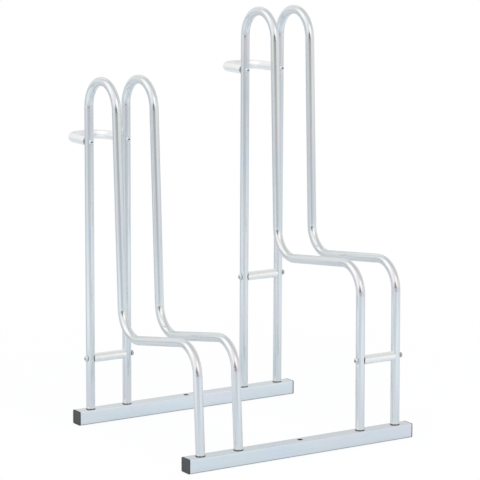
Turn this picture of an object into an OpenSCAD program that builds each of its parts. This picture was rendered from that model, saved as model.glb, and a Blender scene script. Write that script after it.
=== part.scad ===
// Floor bike rack with a low place and a high place.
// Two square base bars lie on the floor. Four bent tube hoops stand in them, two to a place,
// and a wheel rolls in between the two hoops of its place.
// X runs along the bars, Y to the back and Z up. The origin is on the floor, midway between
// the two anchor bores.

/* [Base bars] */
// Length of a base bar without its end caps
bar_l = 540; // [520:5:700]
// Outside width and height of the square bar tube
bar_side = 30; // [28:0.5:36]
// Wall of the bar tube
bar_wall = 1.5; // [1:0.25:2.5]
// Outer corner radius of the bar tube
bar_corner = 3; // [3:0.25:5]
// Distance between the centre lines of the two bars
bar_spacing = 444; // [420:2:480]
// Bore for a floor anchor in the middle of each bar
anchor_d = 11; // [8:0.5:14]

/* [Places] */
// Distance between the middles of the two places
place_pitch = 386; // [340:2:390]
// Distance between the two hoops of a place, centre to centre
leg_spacing = 89; // [80:1:95]

/* [Hoop tube] */
// Outside diameter of the hoop tube
tube_d = 19; // [17:0.5:20]
// Wall of the hoop tube
tube_wall = 1.5; // [1:0.25:2]
// Centre line radius of every bend in a hoop
bend_r = 58; // [50:1:64]

/* [Low place] */
// Height of the low hoops, from the floor to the top of the tube
low_h = 744; // [680:2:800]
// Height of the low run's centre line, midway between the bars
low_run_h = 220; // [190:2:260]
// Lean of the low hoops' upper front leg, in degrees
low_lean = 2.9; // [0:0.1:5]
// Slope of the low run, rising to the front, in degrees
low_slope = 9.6; // [4:0.1:12]
// Lean of the low hoops' lower front leg, in degrees
low_foot_lean = 3.9; // [0:0.1:5]
// Height of the low rear spacer
low_spacer_h = 140; // [100:2:300]

/* [High place] */
// Height of the high hoops, from the floor to the top of the tube
high_h = 873; // [820:2:940]
// Height of the high run's centre line, midway between the bars
high_run_h = 352; // [310:2:400]
// Lean of the high hoops' upper front leg, in degrees
high_lean = 2.2; // [0:0.1:5]
// Slope of the high run, rising to the front, in degrees
high_slope = 6.6; // [4:0.1:12]
// Lean of the high hoops' lower front leg, in degrees
high_foot_lean = 0.8; // [0:0.1:5]
// Height of the high rear spacer
high_spacer_h = 277; // [200:2:400]
// Height of the high front spacer
front_spacer_h = 176; // [120:2:220]

/* [Spacers] */
// Outside diameter of a spacer tube
spacer_d = 19; // [16:0.5:20]
// Wall of a spacer tube
spacer_wall = 2; // [1:0.25:2.5]
// Diameter of the bolts through the spacers
bolt_d = 6; // [5:0.5:8]
// Diameter of a bolt's domed head
bolt_head_d = 13; // [12:0.5:16]
// Height of a bolt's domed head
bolt_head_h = 3.5; // [3:0.1:4.5]
// Width across the flats of a nut
nut_af = 10; // [9.5:0.5:13]
// Height of a nut
nut_h = 5; // [4:0.5:7]

/* [Rear loops] */
// Outside diameter of the rear loops' tube
loop_d = 19; // [16:0.5:20]
// Wall of the rear loops' tube
loop_wall = 1.5; // [1:0.25:2]
// Reach of a loop's straight arms, from the rear legs' centre line
loop_arm = 60; // [40:1:90]
// Distance from the top of a hoop down to its loop's centre line
loop_drop = 141; // [110:1:200]
// Diameter of the screws that hold the loops
screw_d = 6; // [5:0.5:8]
// Diameter of a loop screw's head
screw_head_d = 11; // [10:0.5:14]
// Height of a loop screw's head
screw_head_h = 3.3; // [2.5:0.1:4.5]
// Length of a loop screw under its head
screw_l = 32; // [28:1:36]

/* [Feet] */
// Diameter of the countersunk screws under the bars
foot_screw_d = 6; // [5:0.5:7]
// Diameter of a countersunk head
foot_head_d = 12; // [11:0.5:13]
// Length of a foot screw, head included
foot_screw_l = 16; // [12:1:20]

/* [Threaded plugs] */
// Length of the threaded plugs in the tube ends
plug_l = 20; // [15:1:25]
// Chamfer at a plug's inner end
plug_chamfer = 1; // [0.5:0.25:1.5]

/* [End caps] */
// Thickness of an end cap's flange
cap_t = 2.5; // [2:0.25:4]
// Bevel round the outer face of a flange
cap_bevel = 0.8; // [0.4:0.1:1.2]
// Depth of a cap's plug inside the bar
cap_plug_l = 18; // [14:1:24]
// Wall of a cap's hollow plug
cap_wall = 2; // [1.5:0.25:3]
// Thickness of a cap's gripping fins
fin_t = 1.2; // [0.8:0.1:1.6]
// How far the fins stand out of the plug
fin_depth = 1.5; // [1:0.25:2]
// Number of gripping fins
fin_count = 3; // [2:1:4]

/* [Hidden] */

$fn = 64;

// Clearance round a leg where it passes through a bar's top wall
leg_clear = 0.5;
// Clearance round a bolt or screw in a tube
bolt_clear = 0.25;
// Clearance of a plug in its tube
plug_clear = 0.1;
// Clearance of a threaded shank in its nut or plug
thread_clear = 0.05;
// Clearance of a cap's fins in the bar
fin_clear = 0.1;
// Clearance of a countersunk head in its seat
seat_clear = 0.1;
// How deep the countersunk heads sit above the floor
foot_recess = 0.5;
// Depth of the hexagon socket in a head, as a share of the head's height
socket_depth_share = 0.6;
// Width of the hexagon socket, as a share of the shank's diameter
socket_width_share = 0.66;
// How far a bolt's end stands out of its nut
bolt_end = 1;
// Chamfer of a nut's corners, as a share of its height
nut_chamfer_share = 0.12;
// How much the tube is drawn in by bending, on each face of its wall
bend_draw = 0.05;
// How far a straight stretch laps over a bend
bend_lap = 0.5;
// Overrun of every cut
over = 1;

// Middle planes of the two places
low_x = -place_pitch / 2;
high_x = place_pitch / 2;
// Centre lines of the rear and front legs where they enter the bars
rear_y = bar_spacing / 2;
front_y = -bar_spacing / 2;

// A place: middle plane, hoop height, run height, lean, slope, foot lean, loop height
low_place = [low_x, low_h, low_run_h, low_lean, low_slope, low_foot_lean, low_h - loop_drop];
high_place = [high_x, high_h, high_run_h, high_lean, high_slope, high_foot_lean, high_h - loop_drop];
function mid_x(p) = p[0];
function hoop_h(p) = p[1];
function run_h(p) = p[2];
function lean(p) = p[3];
function slope(p) = p[4];
function foot_lean(p) = p[5];
function loop_h(p) = p[6];
function leg_x(p, side) = mid_x(p) + side * leg_spacing / 2;

// A spacer: its place, its height and its leg line's Y there
low_rear = [low_place, low_spacer_h, rear_y];
high_rear = [high_place, high_spacer_h, rear_y];
high_front = [high_place, front_spacer_h, front_leg_y(high_place, front_spacer_h)];
low_spacers = [low_rear];
high_spacers = [high_rear, high_front];

// The hoop's centre line in the Y-Z plane: rear leg, top bend, upper leg, run, lower leg
function bend_centre(p) = [rear_y - bend_r, hoop_h(p) - tube_d / 2 - bend_r];
function upper_start(p) = bend_centre(p) + bend_r * [-cos(lean(p)), sin(lean(p))];
function upper_way(p) = [-sin(lean(p)), -cos(lean(p))];
function run_start(p) = [0, run_h(p)];
function run_way(p) = [-cos(slope(p)), sin(slope(p))];
function foot_start(p) = [front_y, bar_side];
function foot_way(p) = [sin(foot_lean(p)), cos(foot_lean(p))];
function meet(a, u, b, v) = a + u * cross(b - a, v) / cross(u, v);
function rear_corner(p) = meet(upper_start(p), upper_way(p), run_start(p), run_way(p));
function front_corner(p) = meet(run_start(p), run_way(p), foot_start(p), foot_way(p));
function rear_turn(p) = 90 + slope(p) - lean(p);
function front_turn(p) = 90 + slope(p) - foot_lean(p);
function tangent(turn) = bend_r * tan(turn / 2);
function front_leg_y(p, z) = front_y + (z - bar_side) * tan(foot_lean(p));

// Length of the lower front leg under the bar's top face, with spare for its level cut
function foot_spare(p) = (bar_side - bar_wall) / cos(foot_lean(p)) + tube_d * tan(foot_lean(p));

// Straight lengths and the turn after each
function hoop_moves(p) = [
    [hoop_h(p) - tube_d / 2 - bend_r - bar_wall, 180 - lean(p)],
    [norm(rear_corner(p) - upper_start(p)) - tangent(rear_turn(p)), -rear_turn(p)],
    [norm(front_corner(p) - rear_corner(p)) - tangent(rear_turn(p)) - tangent(front_turn(p)), front_turn(p)],
    [norm(front_corner(p) - foot_start(p)) - tangent(front_turn(p)) + foot_spare(p), 0],
];

// Clear gap between the two hoops of a place
wheel_gap = leg_spacing - tube_d;
// Inside width of the bar tube
bar_inner = bar_side - 2 * bar_wall;
// Height of a countersunk head with a right-angled cone
foot_head_h = (foot_head_d - foot_screw_d) / 2;

zinc = [0.76, 0.79, 0.83];
bright_zinc = [0.86, 0.88, 0.9];
black_plastic = [0.13, 0.13, 0.14];

module ring(d, wall) {
    difference() {
        circle(d = d);
        circle(d = d - 2 * wall);
    }
}

module rounded_square(side, r) {
    square([side, side - 2 * r], center = true);
    square([side - 2 * r, side], center = true);
    for (x = [-1, 1], y = [-1, 1])
        translate([x, y] * (side / 2 - r)) circle(r = r);
}

// Tube along X that turns in the X-Y plane: each move is a straight length and the turn after it
module bent_tube(moves, d, wall, r, i = 0) {
    straight = moves[i][0];
    turn = moves[i][1];
    side = turn < 0 ? -1 : 1;
    from = i == 0 ? 0 : -bend_lap;
    to = turn == 0 ? straight : straight + bend_lap;
    translate([from, 0, 0]) rotate([0, 90, 0]) rotate([0, 0, 90])
        linear_extrude(to - from) ring(d, wall);
    if (turn != 0)
        translate([straight, side * r, 0]) {
            rotate([0, 0, side > 0 ? -90 : 90 + turn])
                rotate_extrude(angle = abs(turn)) translate([r, 0])
                    ring(d - 2 * bend_draw, wall - 2 * bend_draw);
            rotate([0, 0, turn]) translate([0, -side * r, 0])
                bent_tube(moves, d, wall, r, i + 1);
        }
}

// A leg's own frame: its axis is Z, and Z is zero at the bar's top face
module at_foot(p, side, end) {
    translate([leg_x(p, side), end * bar_spacing / 2, bar_side])
        rotate([end < 0 ? -foot_lean(p) : 0, 0, 0]) children();
}

module at_feet(end) {
    for (p = [low_place, high_place], side = [-1, 1])
        at_foot(p, side, end) children();
}

// Everything below the inside of the bar's bottom wall
module below_bar_floor() {
    translate([-bar_l, -bar_spacing, -bar_side]) cube([2 * bar_l, 2 * bar_spacing, bar_side + bar_wall]);
}

// A cylinder along X, centred on a spacer's bolt line
module along_spacer(s, from, to, d) {
    translate([mid_x(s[0]) + from, s[2], s[1]]) rotate([0, 90, 0]) cylinder(d = d, h = to - from);
}

module hoop(p, side, spacers) {
    difference() {
        translate([leg_x(p, side), rear_y, bar_wall])
            rotate([90, 0, 90]) rotate([0, 0, 90])
                bent_tube(hoop_moves(p), tube_d, tube_wall, bend_r);
        below_bar_floor();
        for (s = spacers)
            along_spacer(s, -leg_spacing, leg_spacing, bolt_d + 2 * bolt_clear);
        translate([leg_x(p, side), rear_y - tube_d, loop_h(p)])
            rotate([-90, 0, 0]) cylinder(d = screw_d + 2 * bolt_clear, h = 2 * tube_d);
    }
}

// Countersunk seat along a leg's axis, open to the floor
module foot_seat() {
    reach = foot_recess + over;
    translate([0, 0, -bar_side - over])
        cylinder(d1 = foot_head_d + 2 * (seat_clear + reach), d2 = foot_screw_d + 2 * seat_clear,
            h = reach + foot_head_h);
}

module base_bar(end) {
    difference() {
        translate([0, end * bar_spacing / 2, bar_side / 2])
            rotate([90, 0, 90]) linear_extrude(bar_l, center = true)
                difference() {
                    rounded_square(bar_side, bar_corner);
                    rounded_square(bar_inner, bar_corner - bar_wall);
                }
        translate([0, end * bar_spacing / 2, -over]) cylinder(d = anchor_d, h = bar_side + 2 * over);
        at_feet(end) {
            translate([0, 0, -2 * bar_wall]) cylinder(d = tube_d + 2 * leg_clear, h = 2 * bar_wall + over);
            foot_seat();
        }
    }
}

module end_cap(side, end) {
    translate([side * bar_l / 2, end * bar_spacing / 2, bar_side / 2])
        rotate([90, 0, 90 * side]) {
            hull() {
                linear_extrude(cap_t - cap_bevel) rounded_square(bar_side, bar_corner, $fn = 32);
                linear_extrude(cap_t) rounded_square(bar_side - 2 * cap_bevel, bar_corner - cap_bevel, $fn = 32);
            }
            translate([0, 0, -cap_plug_l]) linear_extrude(cap_plug_l)
                difference() {
                    square(bar_inner - 2 * fin_depth, center = true);
                    square(bar_inner - 2 * fin_depth - 2 * cap_wall, center = true);
                }
            for (i = [1 : fin_count])
                translate([0, 0, -i * cap_plug_l / (fin_count + 1)]) linear_extrude(fin_t)
                    difference() {
                        rounded_square(bar_inner - 2 * fin_clear, bar_corner - bar_wall);
                        square(bar_inner - 2 * fin_depth - 2 * cap_wall, center = true);
                    }
        }
}

module spacer(s) {
    translate([mid_x(s[0]) - wheel_gap / 2, s[2], s[1]])
        rotate([0, 90, 0]) linear_extrude(wheel_gap) ring(spacer_d, spacer_wall);
}

// Low dome on the X-Y plane with a hexagon socket in it
module domed_head(d, h, shank) {
    r = (d * d / 4 + h * h) / (2 * h);
    difference() {
        intersection() {
            translate([0, 0, h - r]) sphere(r = r);
            cylinder(d = d, h = h);
        }
        translate([0, 0, h * (1 - socket_depth_share)])
            cylinder(d = shank * socket_width_share / cos(30), h = h, $fn = 6);
    }
}

// Bolt from the left leg's outer side, through both legs and the spacer
module spacer_bolt(s) {
    grip = leg_spacing + tube_d;
    translate([mid_x(s[0]) - grip / 2, s[2], s[1]]) {
        rotate([0, -90, 0]) domed_head(bolt_head_d, bolt_head_h, bolt_d);
        rotate([0, 90, 0]) cylinder(d = bolt_d, h = grip + nut_h + bolt_end);
    }
}

module spacer_nut(s) {
    corner_d = nut_af / cos(30);
    chamfer = nut_h * nut_chamfer_share;
    translate([mid_x(s[0]) + (leg_spacing + tube_d) / 2, s[2], s[1]]) rotate([0, 90, 0])
        difference() {
            intersection() {
                cylinder(d = corner_d, h = nut_h, $fn = 6);
                cylinder(d1 = corner_d + 2 * (nut_h - chamfer), d2 = corner_d - 2 * chamfer, h = nut_h);
            }
            translate([0, 0, -over]) cylinder(d = bolt_d + 2 * thread_clear, h = nut_h + 2 * over);
        }
}

// U of tube that stands out behind the rear legs
module rear_loop(p) {
    arm = loop_arm - tube_d / 2;
    translate([leg_x(p, -1), rear_y + tube_d / 2, loop_h(p)]) rotate([0, 0, 90])
        bent_tube([[arm, -180], [arm, 0]], loop_d, loop_wall, leg_spacing / 2);
}

// Screws from the front of the rear legs into the loop's plugs
module loop_screws(p) {
    for (side = [-1, 1])
        translate([leg_x(p, side), rear_y - tube_d / 2, loop_h(p)]) {
            rotate([90, 0, 0]) domed_head(screw_head_d, screw_head_h, screw_d);
            rotate([-90, 0, 0]) cylinder(d = screw_d, h = screw_l);
        }
}

// Round plug with a threaded bore, its outer end on the X-Y plane
module threaded_plug(d, thread) {
    difference() {
        union() {
            cylinder(d = d, h = plug_l - plug_chamfer);
            translate([0, 0, plug_l - plug_chamfer])
                cylinder(d1 = d, d2 = d - 2 * plug_chamfer, h = plug_chamfer);
        }
        translate([0, 0, -over]) cylinder(d = thread + 2 * thread_clear, h = plug_l + 2 * over);
    }
}

module loop_plugs(p) {
    for (side = [-1, 1])
        translate([leg_x(p, side), rear_y + tube_d / 2, loop_h(p)]) rotate([-90, 0, 0])
            threaded_plug(loop_d - 2 * loop_wall - 2 * plug_clear, screw_d);
}

module foot_plugs(end) {
    difference() {
        at_feet(end) difference() {
            translate([0, 0, -bar_side])
                threaded_plug(tube_d - 2 * tube_wall - 2 * plug_clear, foot_screw_d);
            foot_seat();
        }
        below_bar_floor();
    }
}

module foot_screws(end) {
    at_feet(end) translate([0, 0, -bar_side + foot_recess]) {
        difference() {
            cylinder(d1 = foot_head_d, d2 = foot_screw_d, h = foot_head_h);
            translate([0, 0, -over])
                cylinder(d = foot_screw_d * socket_width_share / cos(30),
                    h = over + foot_head_h * socket_depth_share, $fn = 6);
        }
        translate([0, 0, foot_head_h]) cylinder(d = foot_screw_d, h = foot_screw_l - foot_head_h);
    }
}

module rear_base_bar() { color(zinc) base_bar(1); }
module front_base_bar() { color(zinc) base_bar(-1); }
module rear_left_cap() { color(black_plastic) end_cap(-1, 1); }
module rear_right_cap() { color(black_plastic) end_cap(1, 1); }
module front_left_cap() { color(black_plastic) end_cap(-1, -1); }
module front_right_cap() { color(black_plastic) end_cap(1, -1); }
module low_left_hoop() { color(zinc) hoop(low_place, -1, low_spacers); }
module low_right_hoop() { color(zinc) hoop(low_place, 1, low_spacers); }
module high_left_hoop() { color(zinc) hoop(high_place, -1, high_spacers); }
module high_right_hoop() { color(zinc) hoop(high_place, 1, high_spacers); }
module low_rear_spacer() { color(zinc) spacer(low_rear); }
module high_rear_spacer() { color(zinc) spacer(high_rear); }
module high_front_spacer() { color(zinc) spacer(high_front); }
module low_rear_bolt() { color(bright_zinc) spacer_bolt(low_rear); }
module high_rear_bolt() { color(bright_zinc) spacer_bolt(high_rear); }
module high_front_bolt() { color(bright_zinc) spacer_bolt(high_front); }
module low_rear_nut() { color(bright_zinc) spacer_nut(low_rear); }
module high_rear_nut() { color(bright_zinc) spacer_nut(high_rear); }
module high_front_nut() { color(bright_zinc) spacer_nut(high_front); }
module low_rear_loop() { color(bright_zinc) rear_loop(low_place); }
module high_rear_loop() { color(bright_zinc) rear_loop(high_place); }
module low_loop_screws() { color(bright_zinc) loop_screws(low_place); }
module high_loop_screws() { color(bright_zinc) loop_screws(high_place); }
module low_loop_plugs() { color(zinc) loop_plugs(low_place); }
module high_loop_plugs() { color(zinc) loop_plugs(high_place); }
module rear_foot_plugs() { color(zinc) foot_plugs(1); }
module front_foot_plugs() { color(zinc) foot_plugs(-1); }
module rear_foot_screws() { color(bright_zinc) foot_screws(1); }
module front_foot_screws() { color(bright_zinc) foot_screws(-1); }

rear_base_bar();
front_base_bar();
rear_left_cap();
rear_right_cap();
front_left_cap();
front_right_cap();
low_left_hoop();
low_right_hoop();
high_left_hoop();
high_right_hoop();
low_rear_spacer();
high_rear_spacer();
high_front_spacer();
low_rear_bolt();
high_rear_bolt();
high_front_bolt();
low_rear_nut();
high_rear_nut();
high_front_nut();
low_rear_loop();
high_rear_loop();
low_loop_screws();
high_loop_screws();
low_loop_plugs();
high_loop_plugs();
rear_foot_plugs();
front_foot_plugs();
rear_foot_screws();
front_foot_screws();
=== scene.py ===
# Floor bike rack: zinc-plated tube hoops on two square base bars, a low and a high wheel place.
import math

import bmesh
import bpy
from mathutils import Matrix, Vector


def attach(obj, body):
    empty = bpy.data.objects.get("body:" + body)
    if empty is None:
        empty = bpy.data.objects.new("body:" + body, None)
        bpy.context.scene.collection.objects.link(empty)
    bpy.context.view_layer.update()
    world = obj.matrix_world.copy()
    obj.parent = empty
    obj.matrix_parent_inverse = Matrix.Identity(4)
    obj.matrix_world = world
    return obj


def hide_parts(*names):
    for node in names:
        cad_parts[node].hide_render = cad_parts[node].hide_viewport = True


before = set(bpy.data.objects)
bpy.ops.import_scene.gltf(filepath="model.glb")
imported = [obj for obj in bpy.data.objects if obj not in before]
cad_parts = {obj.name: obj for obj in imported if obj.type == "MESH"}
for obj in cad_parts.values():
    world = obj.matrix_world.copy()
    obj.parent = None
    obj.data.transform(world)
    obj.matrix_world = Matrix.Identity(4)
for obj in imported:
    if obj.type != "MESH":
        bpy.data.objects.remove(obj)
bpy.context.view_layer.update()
scene = bpy.context.scene
mm = 0.001
print("frame loaded:", len(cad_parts), "nodes")


# Camera, at the photograph's angle

photoCamera = {
    "place": (-2.67437, -4.16503, 1.30133),  # metres, in the rack's own frame
    "yaw": 0.57,  # radians, turned from +Y towards +X
    "pitch": 0.1788,  # radians, looking down
    "roll": 0.0048,
    "focal": 2422.9,  # pixels, on a picture this wide
    "picture": 480,
    "sensor": 36.0,  # millimetres
    "farEnd": 100,  # metres
}


def makeCamera(c):
    forward = Vector((
        math.sin(c["yaw"]) * math.cos(c["pitch"]),
        math.cos(c["yaw"]) * math.cos(c["pitch"]),
        -math.sin(c["pitch"]),
    ))
    level = Vector((math.cos(c["yaw"]), -math.sin(c["yaw"]), 0))
    right = math.cos(c["roll"]) * level + math.sin(c["roll"]) * level.cross(forward)
    data = bpy.data.cameras.new("photoCamera")
    data.sensor_width = c["sensor"]
    data.lens = c["focal"] * c["sensor"] / c["picture"]
    data.clip_end = c["farEnd"]
    camera = bpy.data.objects.new("photoCamera", data)
    turn = Matrix((right, right.cross(forward), -forward)).transposed().to_4x4()
    camera.matrix_world = Matrix.Translation(c["place"]) @ turn
    scene.collection.objects.link(camera)
    scene.camera = camera
    return forward


forward = makeCamera(photoCamera)
towardsCamera = Vector((-forward.x, -forward.y, 0)).normalized()
print("camera made")


# Helpers for node trees

def addNode(tree, kind, **settings):
    node = tree.nodes.new(kind)
    for name, value in settings.items():
        setattr(node, name, value)
    return node


def feed(tree, socket, value):
    if isinstance(value, bpy.types.NodeSocket):
        tree.links.new(value, socket)
    elif value is not None:
        socket.default_value = value


def calc(tree, operation, *values, clamp=False):
    node = addNode(tree, "ShaderNodeMath", operation=operation, use_clamp=clamp)
    for socket, value in zip(node.inputs, values):
        feed(tree, socket, value)
    return node.outputs[0]


def vectorCalc(tree, operation, *values):
    node = addNode(tree, "ShaderNodeVectorMath", operation=operation)
    for socket, value in zip(node.inputs, values):
        feed(tree, socket, value)
    return node.outputs["Value" if operation in ("DOT_PRODUCT", "LENGTH", "DISTANCE") else "Vector"]


def fade(tree, value, low, high):  # 0 at low and 1 at high, smooth between
    node = addNode(tree, "ShaderNodeMapRange", interpolation_type="SMOOTHSTEP")
    feed(tree, node.inputs["Value"], value)
    feed(tree, node.inputs["From Min"], low)
    feed(tree, node.inputs["From Max"], high)
    return node.outputs["Result"]


def mixColour(tree, share, first, second, blend="MIX"):
    node = addNode(tree, "ShaderNodeMix", data_type="RGBA", blend_type=blend)
    for index, value in ((0, share), (6, first), (7, second)):
        feed(tree, node.inputs[index], value)
    return node.outputs[2]


# Studio: pale all round, with soft boxes high at the left and right, and the dark room behind the camera

studio = {
    "turn": 3.0,  # degrees that the studio's middle stands left of the camera
    "wall": (0.83, 0.84, 0.86, 1),  # what lights the rack
    "low": (0.87, 0.86, 0.85, 1),  # what the metal sees near the horizon
    "high": (0.70, 0.695, 0.69, 1),  # and overhead
    "highRise": (0.3, 1.1),  # radians above the floor, from low to high
    "panels": (  # degrees left of the middle, degrees up, half sizes inside and outside, level
        (0, 42, 18, 50, 0.95),
        (160, 36, 8, 26, 0.95),
        (182, 2, 12, 32, 0.70),
        (70, 48, 10, 42, 1.20),
        (48, 17, 5, 22, 1.12),
        (-42, 25, 5, 24, 1.30),
        (-96, 34, 8, 24, 0.70),
        (-60, 14, 6, 18, 0.97),
    ),
    "panelTint": (1, 0.995, 0.985),
    "backTint": (0.963, 1.0, 1.03, 1),
    "backAngle": (1.7, 2.9),  # radians from the middle, where that tint comes in
    "flag": (0.53, 0.53, 0.54, 1),  # a narrow panel at the left
    "flagAngle": 1.74,
    "flagWidth": 0.12,
    "flagSoft": 0.08,
    "flagRise": (-0.4, 0.2),
    "dark": (0.235, 0.24, 0.245, 1),  # the room behind the camera
    "darkRise": (-0.05, 0.35),
    "darkSoft": 0.05,
    "darkWidth": 0.68,
    "darkTaper": 1.8,  # it narrows upwards
    "darkCore": 0.5,  # share of the width that is fully dark
}


def band(tree, value, low, high, soft):
    rise = fade(tree, value, calc(tree, "SUBTRACT", low, soft), calc(tree, "ADD", low, soft))
    fall = fade(tree, value, calc(tree, "ADD", high, soft), calc(tree, "SUBTRACT", high, soft))
    return calc(tree, "MULTIPLY", rise, fall)


def wayTo(left, up):  # degrees to the left of the studio's middle and above the floor
    turn = math.atan2(towardsCamera.y, towardsCamera.x) - math.radians(left + studio["turn"])
    up = math.radians(up)
    return Vector((math.cos(turn) * math.cos(up), math.sin(turn) * math.cos(up), math.sin(up)))


# The angle grows on both sides from 0 at the studio's middle to pi, and sideways is above 0 on the left
def aroundMiddle(tree, vector):
    facing = vectorCalc(tree, "DOT_PRODUCT", vector, wayTo(0, 0))
    sideways = vectorCalc(tree, "DOT_PRODUCT", vector, wayTo(90, 0))
    return calc(tree, "ARCTAN2", calc(tree, "ABSOLUTE", sideways), facing), sideways


def flagShare(tree, angle, sideways, s):  # 1 in the direction of the narrow panel
    share = band(tree, angle, s["flagAngle"] - s["flagWidth"], s["flagAngle"] + s["flagWidth"], s["flagSoft"])
    return calc(tree, "MULTIPLY", share, calc(tree, "GREATER_THAN", sideways, 0))


def makeWorld(s):
    world = bpy.data.worlds.new("studio")
    world.use_nodes = True
    scene.world = world
    tree = world.node_tree
    tree.nodes.clear()
    direction = addNode(tree, "ShaderNodeTexCoord").outputs["Generated"]
    angle, sideways = aroundMiddle(tree, direction)
    split = addNode(tree, "ShaderNodeSeparateXYZ")
    feed(tree, split.inputs[0], direction)
    rise = calc(tree, "ARCSINE", split.outputs["Z"])
    colour = mixColour(tree, fade(tree, rise, *s["highRise"]), s["low"], s["high"])
    for left, up, inside, outside, level in s["panels"]:
        facing = vectorCalc(tree, "DOT_PRODUCT", direction, wayTo(left, up))
        share = fade(tree, facing, math.cos(math.radians(outside)), math.cos(math.radians(inside)))
        colour = mixColour(tree, share, colour, (*(level * tint for tint in s["panelTint"]), 1))
    colour = mixColour(tree, fade(tree, angle, *s["backAngle"]), colour, s["backTint"], "MULTIPLY")
    tall = band(tree, rise, *s["flagRise"], 2 * s["flagSoft"])
    flag = calc(tree, "MULTIPLY", flagShare(tree, angle, sideways, s), tall)
    colour = mixColour(tree, flag, colour, s["flag"])
    width = calc(tree, "SUBTRACT", s["darkWidth"], calc(tree, "MULTIPLY", rise, s["darkTaper"]))
    wide = fade(tree, angle, width, calc(tree, "MULTIPLY", width, s["darkCore"]))
    dark = calc(tree, "MULTIPLY", wide, band(tree, rise, *s["darkRise"], s["darkSoft"]))
    colour = mixColour(tree, dark, colour, s["dark"])
    rays = addNode(tree, "ShaderNodeLightPath")
    seen = addNode(tree, "ShaderNodeBackground")
    feed(tree, seen.inputs["Color"], mixColour(tree, rays.outputs["Is Glossy Ray"], s["wall"], colour))
    white = addNode(tree, "ShaderNodeBackground")
    white.inputs["Color"].default_value = (1, 1, 1, 1)
    mix = addNode(tree, "ShaderNodeMixShader")
    feed(tree, mix.inputs[0], rays.outputs["Is Camera Ray"])
    feed(tree, mix.inputs[1], seen.outputs[0])
    feed(tree, mix.inputs[2], white.outputs[0])
    feed(tree, addNode(tree, "ShaderNodeOutputWorld").inputs[0], mix.outputs[0])


makeWorld(studio)


# White to the camera, with a trace of the rack's shadow, and in the metal a little darker by zones, which is
# painted light and shade on the floor
ground = {
    "size": 14.0,  # metres
    "gap": 0.3 * mm,  # below the bars, so that the two faces don't meet
    "albedo": 0.95,
    "shadow": 0.12,
    "shadowReach": (1.6, 0.5),  # metres from the origin
    "tint": (0.945, 1.0, 1.04, 1),  # from here on, what the metal sees
    "rest": 0.885,
    "near": 0.76,
    "nearReach": (0.5, 1.3),
    "front": 0.675,
    "frontAngle": (0.75, 0.3),  # radians from the studio's middle
    "left": 0.925,
    "leftAcross": (0.25, 0.75),  # share of the reach
    "leftAngle": (2.3, 1.9),
    "back": 0.68,
    "backAngle": (2.7, 3.0),
    "backReach": (0.9, 1.5),
    "flagLoss": 0.2,  # below the narrow panel
    "sideLoss": 0.13,  # and from there on round to the side's end
    "sideEnd": 2.5,
    "sideSoft": 0.12,
}


# How bright the metal sees the floor at each place: painted light and shade, darker near the rack, towards the
# camera, behind and under the narrow panel, lighter at the left
def floorLevel(tree, place, reach, f, s):
    angle, sideways = aroundMiddle(tree, place)
    across = calc(tree, "DIVIDE", sideways, reach)
    onLeft = calc(tree, "GREATER_THAN", sideways, 0)
    front = fade(tree, angle, *f["frontAngle"])
    left = calc(tree, "MULTIPLY", fade(tree, across, *f["leftAcross"]), fade(tree, angle, *f["leftAngle"]))
    back = calc(tree, "MULTIPLY", fade(tree, angle, *f["backAngle"]), fade(tree, reach, *f["backReach"]))
    level = f["rest"]
    for zone, word in ((front, "front"), (left, "left"), (back, "back")):
        level = calc(tree, "MULTIPLY_ADD", zone, f[word] - f["rest"], level)
    loss = calc(tree, "MULTIPLY", flagShare(tree, angle, sideways, s), f["flagLoss"])
    side = calc(tree, "MULTIPLY", band(tree, angle, s["flagAngle"], f["sideEnd"], f["sideSoft"]), onLeft)
    loss = calc(tree, "MULTIPLY_ADD", side, f["sideLoss"], loss)
    level = calc(tree, "MULTIPLY", level, calc(tree, "SUBTRACT", 1, loss))
    far = fade(tree, reach, *f["nearReach"])
    return calc(tree, "MULTIPLY_ADD", calc(tree, "SUBTRACT", level, f["near"]), far, f["near"])


def makeFloor(f, s):
    mesh = bpy.data.meshes.new("floor")
    half, low = f["size"] / 2, -f["gap"]
    corners = [(-half, -half, low), (half, -half, low), (half, half, low), (-half, half, low)]
    mesh.from_pydata(corners, [], [(0, 1, 2, 3)])
    floor = bpy.data.objects.new("floor", mesh)
    scene.collection.objects.link(floor)
    material = bpy.data.materials.new("paleFloor")
    material.use_nodes = True
    tree = material.node_tree
    tree.nodes.clear()
    place = addNode(tree, "ShaderNodeTexCoord").outputs["Object"]
    reach = vectorCalc(tree, "LENGTH", place)
    rays = addNode(tree, "ShaderNodeLightPath")
    glossy = rays.outputs["Is Glossy Ray"]
    level = addNode(tree, "ShaderNodeMix")
    feed(tree, level.inputs[0], glossy)
    feed(tree, level.inputs[2], f["albedo"])
    feed(tree, level.inputs[3], floorLevel(tree, place, reach, f, s))
    tone = addNode(tree, "ShaderNodeCombineColor")
    for socket in tone.inputs[:3]:
        feed(tree, socket, level.outputs[0])
    paint = addNode(tree, "ShaderNodeBsdfDiffuse")
    feed(tree, paint.inputs["Color"], mixColour(tree, glossy, tone.outputs[0], f["tint"], "MULTIPLY"))
    glow = addNode(tree, "ShaderNodeEmission")
    glow.inputs["Color"].default_value = (1, 1, 1, 1)
    near = fade(tree, reach, *f["shadowReach"])
    white = calc(tree, "SUBTRACT", 1, calc(tree, "MULTIPLY", near, f["shadow"]))
    mix = addNode(tree, "ShaderNodeMixShader")
    feed(tree, mix.inputs[0], calc(tree, "MULTIPLY", rays.outputs["Is Camera Ray"], white))
    feed(tree, mix.inputs[1], paint.outputs[0])
    feed(tree, mix.inputs[2], glow.outputs[0])
    feed(tree, addNode(tree, "ShaderNodeOutputMaterial").inputs[0], mix.outputs[0])
    mesh.materials.append(material)


makeFloor(ground, studio)

softBox = {"place": (-0.6, -1.2, 3.2), "target": (0, 0, 0.4), "size": (2.4, 1.6), "power": 34.0}


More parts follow.
